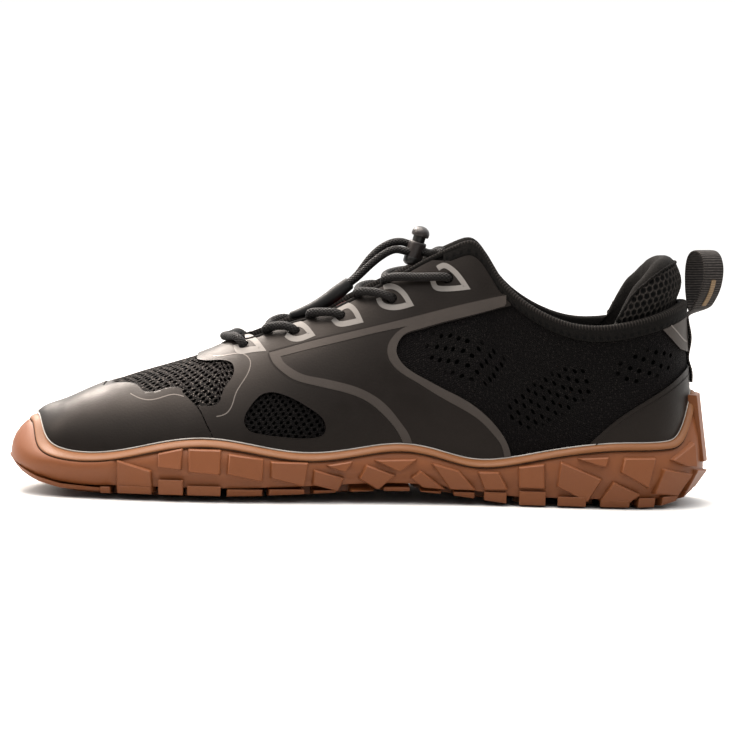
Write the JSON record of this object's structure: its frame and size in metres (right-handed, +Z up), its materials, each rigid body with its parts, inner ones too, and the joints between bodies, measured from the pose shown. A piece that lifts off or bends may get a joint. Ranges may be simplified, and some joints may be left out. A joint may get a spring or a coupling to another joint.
{
  "type": "knit sneaker",
  "caption": "Right-foot knit sneaker with bonded film overlays, elastic cord lacing with a cord lock, padded heel collar, pull loop and a gum cup sole with lugs.",
  "frame": {"origin": "middle of the bottom of the bounding box, on the floor, without the pieces on the lace cord", "axes": "-X to the toe, +X to the heel, -Y to the medial side, +Y to the lateral side, +Z up"},
  "size_m": [0.29, 0.1086, 0.1102],
  "materials": {
    "gum_rubber": "matt moulded rubber",
    "black_knit": "matt knit",
    "foot_bed_foam": "matt cloth-faced foam",
    "charcoal_film": "satin bonded film",
    "grey_film": "satin bonded film",
    "padded_mesh": "open padded mesh",
    "black_webbing": "ribbed webbing",
    "black_cord": "braided elastic cord",
    "grey_plastic": "satin moulded plastic",
    "black_plastic": "satin moulded plastic",
    "red_tape": "matt tape"
  },
  "bodies": {
    "shoe": {"outsole": "gum_rubber", "upper": "black_knit", "insole": "foot_bed_foam", "tongue": "black_knit", "toe_cap": "charcoal_film", "quarter_film": "charcoal_film", "heel_counter": "charcoal_film", "heel_patch": "grey_film", "collar_binding": "black_knit", "heel_pad": "padded_mesh", "pull_loop": "black_webbing", "cord_end": "black_plastic", "tongue_keeper": "red_tape", "lace_bar": "black_cord", "lace_cross_2": "black_cord", "lace_cross_3": "black_cord", "lace_cross_4": "black_cord", "lace_cross_5": "black_cord", "lace_tail_medial": "black_cord", "lace_tail_lateral": "black_cord", "pull_cord_medial": "black_cord", "pull_cord_lateral": "black_cord", "cord_lock_barrel": "grey_plastic"},
    "button": {"cord_lock_button": "black_plastic"}
  },
  "joints": [
    {"name": "button_press", "type": "slide", "parent": "shoe", "child": "button", "axis": [-0.2629, 0, -0.9648], "range_m": [0, 0.0018], "stiffness_N_per_m": 400, "springref_m": -0.004}
  ]
}
